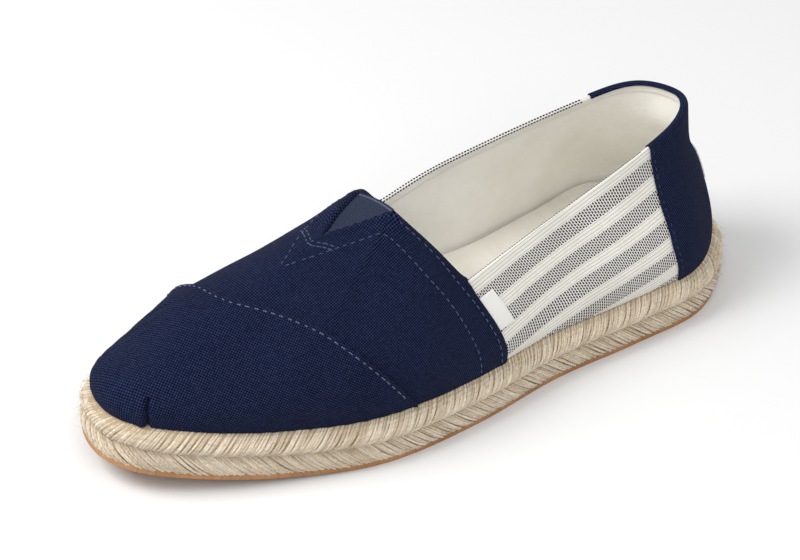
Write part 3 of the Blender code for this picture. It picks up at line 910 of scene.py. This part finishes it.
# The seam's marks, rib and climb, from the outer side over the foot to the inner side
SEAM_MARKS = [
    (5.05, 0.02), (5.20, 0.15), (5.34, 0.255), (5.52, 0.36), (5.72, 0.445), (5.99, 0.525),
    (6.28, 0.575), (6.62, 0.618), (7.04, 0.650), (7.47, 0.678), (8.06, 0.676), (8.34, 0.655),
    (8.62, 0.612), (8.92, 0.545), (9.20, 0.45), (9.45, 0.32), (9.60, 0.18), (9.70, 0.02),
]
PANEL_LIFT = 0.0010


def surface_step(rib, climb, move, step):
    """How the rib and the climb change when a place on the upper moves a little."""
    per_rib = (rib_surface(rib + step, climb)[0] - rib_surface(rib - step, climb)[0]) / (2 * step)
    above, below = np.minimum(climb + step, 1), np.maximum(climb - step, 0)
    per_climb = rib_surface(rib, above)[0] - rib_surface(rib, below)[0]
    per_climb /= (above - below)[:, None]
    a, b, c = (per_rib**2).sum(-1), (per_rib * per_climb).sum(-1), (per_climb**2).sum(-1)
    p, q = (move * per_rib).sum(-1), (move * per_climb).sum(-1)
    spread = a * c - b * b
    return (p * c - q * b) / spread, (a * q - b * p) / spread


def settle(points, rib, climb):
    """Rib and climb of the places on the form that are nearest to the points."""
    for _ in range(6):
        climb = np.clip(climb, 0, 1)
        ribs_on, climb_on = surface_step(rib, climb, points - rib_surface(rib, climb)[0], 0.004)
        rib = rib + np.clip(ribs_on, -0.2, 0.2)
        climb = climb + np.clip(climb_on, -0.1, 0.1)
    return rib, np.clip(climb, 0, 1)


def points_at(at, far, line):
    """Points of a line at some distances along it."""
    return np.stack([np.interp(at, far, line[:, axis]) for axis in range(3)], axis=-1)


def drawn_line(marks, steps, soft=0.004):
    """A smooth line on the upper through listed marks, in steps of even length."""
    count = 1200
    rib, climb = np.array(marks, float).T
    knots, fine = np.linspace(0, 1, len(marks)), np.linspace(0, 1, count)
    rib, climb = np.interp(fine, knots, rib), np.interp(fine, knots, climb)
    line = rib_surface(rib, climb)[0]
    far = distance_along(line)
    even = np.linspace(0, far[-1], count)
    line = points_at(even, far, line)
    rib, climb = np.interp(even, far, rib), np.interp(even, far, climb)
    half = max(int(soft / far[-1] * count), 1)
    window = np.hanning(2 * half + 3)[1:-1]
    window /= window.sum()
    before = 2 * line[0] - line[half:0:-1]
    behind = 2 * line[-1] - line[-2 : -half - 2 : -1]
    padded = np.concatenate([before, line, behind])
    line = np.stack([np.convolve(padded[:, axis], window, mode="valid") for axis in range(3)], axis=-1)
    number = np.arange(count)
    at = np.linspace(0, count - 1, steps)
    line = points_at(at, number, line)
    return settle(line, np.interp(at, number, rib), np.interp(at, number, climb))


PANEL_GRID = (360, 90)
SEAM_STEPS = PANEL_GRID[0] + 1
seam_rib, seam_climb = drawn_line(SEAM_MARKS, SEAM_STEPS, soft=0.012)


def toe_form(x, y):
    """The panel swells behind its seam, rolls under at it and thins out at the rope."""
    place = (1 - x) * (SEAM_STEPS - 1)
    rib = np.interp(place, np.arange(SEAM_STEPS), seam_rib)
    edge = np.interp(place, np.arange(SEAM_STEPS), seam_climb)
    climb = edge * y
    span = level_line(rib, 1.0) - level_line(rib, 0.0)
    below = (edge - climb) * np.linalg.norm(span, axis=1)
    swell = 0.00080 * bell(below, 0.0017)
    roll = 0.00035 * bell(below, 0.0003)
    thin = 0.0007 * np.clip(1 - climb / 0.14, 0, 1) ** 1.5
    return cloth_form(rib, climb, PANEL_LIFT + swell - roll - thin)


toe_panel = shaped_grid("toe_panel_canvas", *PANEL_GRID, toe_form)
finish_canvas(toe_panel, PANEL_GRID, toe_form, 0.0008, 0.0003, "toe_panel")


# The heel counter
# Navy canvas that wraps the back of the heel over the quarters, and is turned over the
# topline with them.
COUNTER_CLIMB = [0.0, 0.30, 0.60, 1.0]
COUNTER_LATERAL = [2.06, 2.09, 2.01, 1.84]
COUNTER_MEDIAL = [2.02, 2.00, 1.92, 1.74]
COUNTER_FOLD = [
    (1.0, 0.10), (0.5, 0.05), (0.05, -0.12), (-0.25, -0.45), (-0.42, -0.85),
    (-0.48, -1.30), (-0.44, -1.80), (-0.25, -2.30), (0.05, -2.68), (0.30, -2.84),
]
COUNTER_BODY = 0.84
COUNTER_GRID = (160, 70)


def counter_form(x, y):
    """The front edges lean, so the panel's ribs spread with the climb."""
    climb = np.clip(y / COUNTER_BODY, 0, 1)
    lateral = np.interp(climb, COUNTER_CLIMB, COUNTER_LATERAL)
    medial = np.interp(climb, COUNTER_CLIMB, COUNTER_MEDIAL)
    rib = -medial + (lateral + medial) * (1 - x)
    even = np.linspace(-2.2, 2.2, 45)
    height = np.interp(rib, even, rib_lengths(even)[1][:, -1])
    down, lift, _ = fold_over(y, height, COUNTER_FOLD, COUNTER_BODY)
    lift = np.where(y > COUNTER_BODY, lift, 0.0001)
    return over_topline(cloth_form(rib, 1 - np.maximum(down, 0) / height, lift), rib, down)


counter = shaped_grid("heel_counter_canvas", *COUNTER_GRID, counter_form)
finish_canvas(counter, COUNTER_GRID, counter_form, 0.0006, 0.0002, "heel_counter")


# The gore
# Ribbed elastic behind the notch, sewn under its folded edges so that the throat can
# stretch as the foot goes in.
GORE_RIB = 0.00105


def gore_form(x, y):
    """A sheet from one side of the notch to the other, sunk under its edges."""
    reach = (MEDIAL_CORNER - NOTCH_TIP) * (0.03 + 0.97 * y)
    lateral, medial = (level_line(NOTCH_TIP + way * reach, 1.0) for way in (-1, 1))
    normal = unit(sum(surface_frame(NOTCH_TIP + way * reach, 0.97)[1] for way in (-1, 1)))
    width = np.linalg.norm(lateral - medial, axis=1)
    share = 1 - x
    sheet = medial + share[:, None] * (lateral - medial)
    sheet[:, 2] += 0.04 * width * 4 * share * (1 - share)
    ribbing = 0.00026 * np.abs(np.sin(pi * sheet[:, 1] / GORE_RIB))
    depth = 0.0021 - 0.0012 * share + 0.0003 * np.sin(pi * share)
    sheet[:, 0] -= 0.0004 * np.sin(pi * share) * y**6
    return sheet + normal * (ribbing - depth)[:, None]


gore = shaped_grid("throat_gore_elastic", 160, 60, gore_form)
thicken(gore, 0.0008)
elastic = Nodes("grey_navy_elastic")
where = elastic.place()
x, y, z = elastic.split(where)
mottle = elastic.noise(where, 1200.0, 3.0, 0.6)
shade = elastic.plus(elastic.times(elastic.wave(elastic.plus(x, z), 0.0005), 0.25), mottle)
groove = elastic.math("ABSOLUTE", elastic.wave(y, 2 * GORE_RIB))
elastic_color = elastic.ramp(shade, 0.3, 0.85)
elastic_color = elastic.mix(elastic_color, rgb(0.011, 0.016, 0.038), rgb(0.031, 0.041, 0.078))
# The grooves between the ribs are painted near-black, as painted shade in the recesses.
elastic_color = elastic.mix(elastic.ramp(groove, 0.55, 0.15), elastic_color, rgb(0.006, 0.008, 0.018))
# A pale thread is woven in near the gore's upper edge
_, up, _ = elastic.split(elastic.place("UV"))
pale_line = elastic.ramp(elastic.from_middle(up, 0.955), 0.014, 0.008)
elastic_color = elastic.mix(pale_line, elastic_color, rgb(0.075, 0.090, 0.14))
elastic.surface(elastic_color, 0.85, elastic.bump(shade, 0.0003, 0.5), gloss=0.1, sheen_weight=0.05)
finish_piece(gore, elastic.material, "elastic", "throat_gore")


# The side tag and the heel label
# Short folds of white woven tape, left blank. The tag is caught under the vamp's back
# edge, and the label is sewn on the counter.
def tape_patch(name, columns, rows, ribs, climbs, lift):
    def form(x, y):
        rib = ribs[0] + (ribs[1] - ribs[0]) * (1 - x)
        climb = climbs[0] + (climbs[1] - climbs[0]) * y
        return cloth_form(rib, climb, lift(1 - x, y))

    piece = shaped_grid(name, columns, rows, form)
    thicken(piece, 0.0005, 0.00015)
    return piece


def tag_lift(x, y):
    return -0.00025 - 0.0004 * np.clip((x - 0.75) / 0.25, 0, 1) + 0.0002 * np.sin(pi * y) * (1 - x)


TAPE_THREAD = 0.0004
tape = Nodes("white_tape")
x, y, z = tape.split(tape.place())
tape_weave = tape.times(tape.wave(z, TAPE_THREAD), tape.wave(tape.plus(x, y), TAPE_THREAD))
tape_color = tape.mix(tape.ramp(tape_weave, -0.9, 0.6), rgb(0.66, 0.65, 0.61), rgb(0.84, 0.83, 0.80))
tape.surface(tape_color, 0.8, tape.bump(tape_weave, 0.0002, 0.4), sheen_weight=0.1)
side_tag = tape_patch("side_tag_tape", 20, 14, (3.80, 4.03), (0.40, 0.80), tag_lift)
finish_piece(side_tag, tape.material, "label_tape", "side_tag")
heel_label = tape_patch("heel_label_tape", 40, 14, (-0.42, 0.42), (0.34, 0.58), lambda x, y: 0.0007)
finish_piece(heel_label, tape.material, "label_tape", "heel_label")


# The stitching
# Lockstitch: pale blue along the toe's seam, darker blue on the vamp, and navy on the
# counter and the hem. Each stitch is a short thread whose ends go down into the cloth.
def beside_line(rib, climb, distance):
    """The line moved sideways on the cloth, to its right as it is seen from outside."""
    point, normal = surface_frame(rib, climb)
    side = unit(np.cross(np.gradient(point, axis=0), normal))
    ribs_on, climb_on = surface_step(rib, climb, side * distance, 0.01)
    return rib + ribs_on, climb + climb_on


def stitch_line(rib, climb, lift, length=0.0014, gap=0.0013, radius=0.00020):
    """Stitches along a line on the cloth: their paths, radii and outward directions."""
    far = distance_along(rib_surface(rib, climb)[0])
    count = int(far[-1] / (length + gap))
    hand = np.random.default_rng(count)
    start = (np.arange(count) + 0.5 + hand.normal(0, 0.05, count)) * far[-1] / count
    share = np.linspace(-0.5, 0.5, 7)
    at = start[:, None] + share[None, :] * length * hand.uniform(0.7, 1.1, (count, 1))
    ribs = np.interp(at, far, rib)
    climbs = np.interp(at, far, climb)
    arch = (1 - (2 * share) ** 4) * radius * 1.1 - radius * 0.75
    above = np.interp(at, far, np.broadcast_to(lift, rib.shape)) + arch[None, :]
    points = cloth_form(ribs.ravel(), climbs.ravel(), above.ravel()).reshape(ribs.shape + (3,))
    normal = surface_frame(ribs.ravel(), climbs.ravel())[1].reshape(points.shape)
    return points, np.full(ribs.shape, radius), normal


def add_stitches(name, lines, material, slot="navy_canvas"):
    paths, radii, normals = (np.concatenate(group) for group in zip(*lines))
    finish_piece(add_tubes(name, paths, radii, normals, 6), material, slot, smooth=60)


def thread_material(name, light, dark):
    thread = Nodes(name)
    around, along, _ = thread.split(thread.place("UV"))
    twist = thread.wave(thread.plus(thread.times(along, 1400.0), around), 1.0)
    color = thread.mix(thread.ramp(twist, -0.8, 0.5), dark, light)
    return thread.surface(color, 0.6, thread.bump(twist, 0.0001, 0.6), sheen_weight=0.2)


pale_thread = thread_material("pale_blue_thread", rgb(0.054, 0.077, 0.150), rgb(0.022, 0.032, 0.072))
navy_thread = thread_material("navy_thread", rgb(0.022, 0.030, 0.075), rgb(0.008, 0.011, 0.03))

SEAM_END = SEAM_STEPS // 20
seam_rib, seam_climb = seam_rib[SEAM_END : -SEAM_END - 1], seam_climb[SEAM_END : -SEAM_END - 1]
seam_line = beside_line(seam_rib, seam_climb, -0.0013)
toe_lines = [stitch_line(*seam_line, PANEL_LIFT + 0.0004, length=0.0016, gap=0.0011)]
seam_thread = thread_material("seam_thread", rgb(0.115, 0.135, 0.225), rgb(0.045, 0.055, 0.105))
add_stitches("toe_seam_stitches", toe_lines, seam_thread)

# Rows of stitches, by rib and climb: along the topline and down the back edge, further
# in, under the notch on each side, and the bar across its tip
EDGE_ROW = [
    (5.85, 0.982), (5.60, 0.978), (5.25, 0.965), (4.87, 0.938), (4.60, 0.893), (4.40, 0.84),
    (4.25, 0.775), (4.16, 0.69), (4.12, 0.58), (4.09, 0.40), (4.07, 0.20), (4.07, 0.02),
]
INNER_ROW = [
    (5.84, 0.918), (5.54, 0.893), (5.26, 0.843), (5.01, 0.775), (4.78, 0.70), (4.62, 0.61),
    (4.50, 0.50), (4.42, 0.38), (4.37, 0.26), (4.34, 0.14), (4.33, 0.02),
]
NOTCH_ROW = [
    (7.82, 0.850), (7.44, 0.874), (6.89, 0.895), (6.41, 0.908), (6.12, 0.914), (5.84, 0.918)
]
MEDIAL_ARM = [(7.82, 0.85), (8.18, 0.884), (8.66, 0.897), (9.08, 0.905), (9.64, 0.922), (10.2, 0.938)]
TACK_ROW = [(9.0, 0.886), (8.6, 0.924), (8.2, 0.950), (7.85, 0.953), (7.45, 0.938), (6.9, 0.896)]


def other_side(marks):
    return [(RIB_COUNT - rib, climb) for rib, climb in marks]


def sewn_rows(rows, lift, steps=400, soft=0.004, radius=0.00020):
    return [stitch_line(*drawn_line(row, steps, soft), lift, radius=radius) for row in rows]


vamp_lines = sewn_rows((EDGE_ROW, other_side(EDGE_ROW)), 0.0003)
add_stitches("vamp_edge_stitches", vamp_lines, pale_thread)
throat_lines = sewn_rows((INNER_ROW, other_side(INNER_ROW)), 0.00002)
throat_lines += sewn_rows((NOTCH_ROW, MEDIAL_ARM), 0.0, 300, 0.002, 0.00017)
add_stitches("throat_stitches", throat_lines, pale_thread)

tack_line = drawn_line(TACK_ROW, 120, soft=0.006)
tack_lines = [
    stitch_line(*beside_line(*tack_line, aside), 0.0, length=0.0016, gap=0.0004)
    for aside in (-0.0006, 0.0008)
]
add_stitches("bartack_stitches", tack_lines, pale_thread)

counter_lines = []
for sign, reach in ((1, COUNTER_LATERAL), (-1, COUNTER_MEDIAL)):
    climb = np.linspace(0.02, 0.985, 300)
    rib = sign * np.interp(climb, COUNTER_CLIMB, reach)
    line = beside_line(rib, climb, 0.0015 * sign)
    counter_lines.append(stitch_line(*line, 0.00002, radius=0.00018))
add_stitches("counter_stitches", counter_lines, navy_thread)


HEM_PITCH = 0.00115
HEM_DASH = 0.00070
HEM_RADIUS = 0.00034


def hem_row(first, last, down, lift, tilt, late=0.0):
    """Dashes on the turned-in edge, which stand out along a tilt from straight up to inwards."""
    rib = np.linspace(first, last, 500)
    far = distance_along(level_line(rib, 1.0))
    count = int(far[-1] / HEM_PITCH)
    start = (np.arange(count) + 0.25 + late) * far[-1] / count
    share = np.linspace(-0.5, 0.5, 5)
    ribs = np.interp((start[:, None] + share[None, :] * HEM_DASH).ravel(), far, rib)
    sunk = np.tile(0.00016 + 0.0002 * (2 * np.abs(share)) ** 3, count)
    points = folded_form(ribs, down + sunk * cos(tilt), lift + sunk * sin(tilt))
    normal = surface_frame(ribs, 0.99)[1]
    outward = np.array([0.0, 0.0, 1.0]) * cos(tilt) - normal * sin(tilt)
    shape = (count, len(share))
    return points.reshape(shape + (3,)), np.full(shape, HEM_RADIUS), outward.reshape(shape + (3,))


hem_lines = []
for first, last in ((1.95, 3.99), (-3.99, -1.85)):
    hem_lines.append(hem_row(first, last, -0.00012, -0.0016, radians(35)))
    hem_lines.append(hem_row(first, last, 0.00060, -0.00216, radians(72), late=0.5))
add_stitches("hem_stitches", hem_lines, navy_thread, "quarter_cotton")


# The floor, the light and the camera
# A white table top under soft light from a big source up on the left, with a weaker one
# opposite. The camera stands where the photograph was taken from.
bpy.ops.mesh.primitive_plane_add(size=8.0, location=(0.0, 0.0, 0.0))
floor = bpy.context.object
floor.name = "floor"
table = Nodes("white_floor")
table.surface(rgb(0.69, 0.69, 0.69), 0.9)
floor.data.materials.append(table.material)

world = bpy.data.worlds.new("studio")
world.use_nodes = True
world.node_tree.nodes["Background"].inputs["Color"].default_value = rgb(1.0, 1.0, 1.0)
world.node_tree.nodes["Background"].inputs["Strength"].default_value = 0.64
bpy.context.scene.world = world

PHOTO_AZIMUTH = 144.741
PHOTO_ELEVATION = 34.243
PHOTO_ROLL = radians(1.697)
PHOTO_DISTANCE = 1.062545
PHOTO_FOCUS = 2452.3
PHOTO_SIZE = (800, 560)
AIMED = Vector((0.125, 0.0, 0.030)) + Vector(TO_FRAME)
AIMED_PIXEL = (460.193, 333.556)
FRAMED_PIXEL = (446, 333)
CLOSER = 1.3


def direction(azimuth, elevation):
    turn, tilt = radians(azimuth), radians(elevation)
    return Vector((sin(turn) * cos(tilt), -cos(turn) * cos(tilt), sin(tilt)))


def rolled_axes(forward):
    right = forward.cross(Vector((0, 0, 1))).normalized()
    above = right.cross(forward)
    rolled_right = right * cos(PHOTO_ROLL) + above * sin(PHOTO_ROLL)
    return rolled_right, above * cos(PHOTO_ROLL) - right * sin(PHOTO_ROLL)


back = direction(PHOTO_AZIMUTH, PHOTO_ELEVATION)
right, above = rolled_axes(-back)
across = (AIMED_PIXEL[0] - PHOTO_SIZE[0] / 2) / PHOTO_FOCUS * PHOTO_DISTANCE
raised = -(AIMED_PIXEL[1] - PHOTO_SIZE[1] / 2) / PHOTO_FOCUS * PHOTO_DISTANCE
eye = AIMED + back * PHOTO_DISTANCE - right * across - above * raised
look = -back * PHOTO_FOCUS
look += right * (FRAMED_PIXEL[0] - PHOTO_SIZE[0] / 2)
look -= above * (FRAMED_PIXEL[1] - PHOTO_SIZE[1] / 2)
look.normalize()
right, above = rolled_axes(look)
camera_data = bpy.data.cameras.new("camera")
camera_data.sensor_width = 36.0
camera_data.lens = PHOTO_FOCUS * CLOSER / PHOTO_SIZE[0] * 36.0
camera = add_object("camera", camera_data)
turned = Matrix((right, above, -look)).transposed()
camera.matrix_world = Matrix.Translation(eye) @ turned.to_4x4()
bpy.context.scene.camera = camera


def add_softbox(name, azimuth, elevation, distance, size, power):
    """A square light that faces the shoe. Azimuth is counted as the camera's is."""
    data = bpy.data.lights.new(name, "AREA")
    data.size = size
    data.energy = power
    lamp = add_object(name, data)
    towards = direction(azimuth, elevation)
    lamp.location = towards * distance
    lamp.rotation_euler = towards.to_track_quat("Z", "Y").to_euler()


add_softbox("key_light", 68.0, 50.0, 1.2, 0.6, 12.6)
add_softbox("fill_light", 158.0, 48.0, 1.5, 1.0, 9.2)

bpy.context.scene.view_settings.view_transform = "Standard"
bpy.context.view_layer.update()
